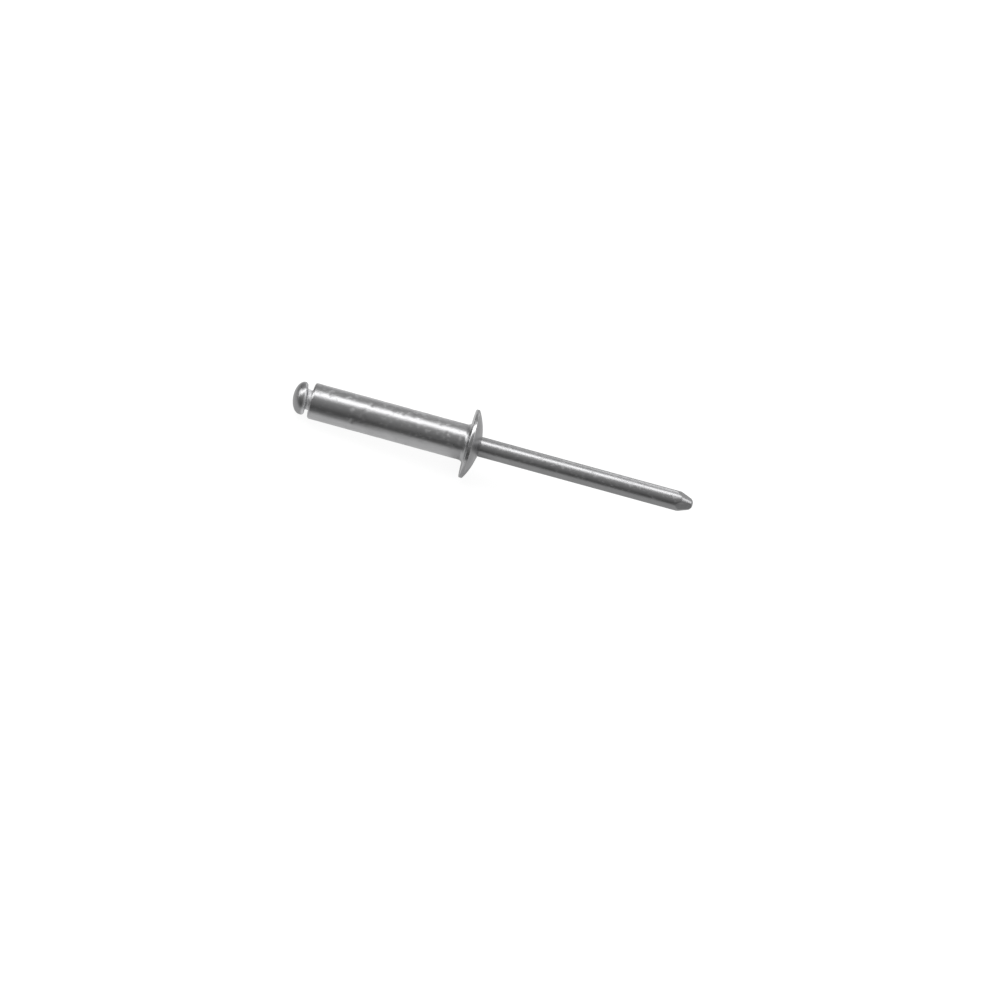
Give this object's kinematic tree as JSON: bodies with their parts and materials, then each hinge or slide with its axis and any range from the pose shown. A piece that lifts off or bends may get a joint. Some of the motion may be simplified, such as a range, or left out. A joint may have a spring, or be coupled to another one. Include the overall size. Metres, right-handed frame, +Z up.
{
  "type": "blind rivet",
  "caption": "Domed-head blind rivet in stainless steel: a flanged tubular body threaded on its headed mandrel, ready to set.",
  "frame": {"origin": "centre of the flange's bearing face, on the rivet's axis, where the face meets the work", "axes": "+X along the length, towards the mandrel's tail; +Z up from the surface that the rivet lies on; the rivet's axis lies in the XZ plane and rises 6 degrees towards the tail"},
  "size_m": [0.0539, 0.0092, 0.0092],
  "materials": {
    "body_steel": "satin stainless steel, lightly marked by tumbling",
    "mandrel_steel": "drawn stainless steel wire, with fine lines along it"
  },
  "bodies": {
    "root": {"rivet_body": "body_steel", "mandrel": "mandrel_steel"}
  },
  "joints": []
}
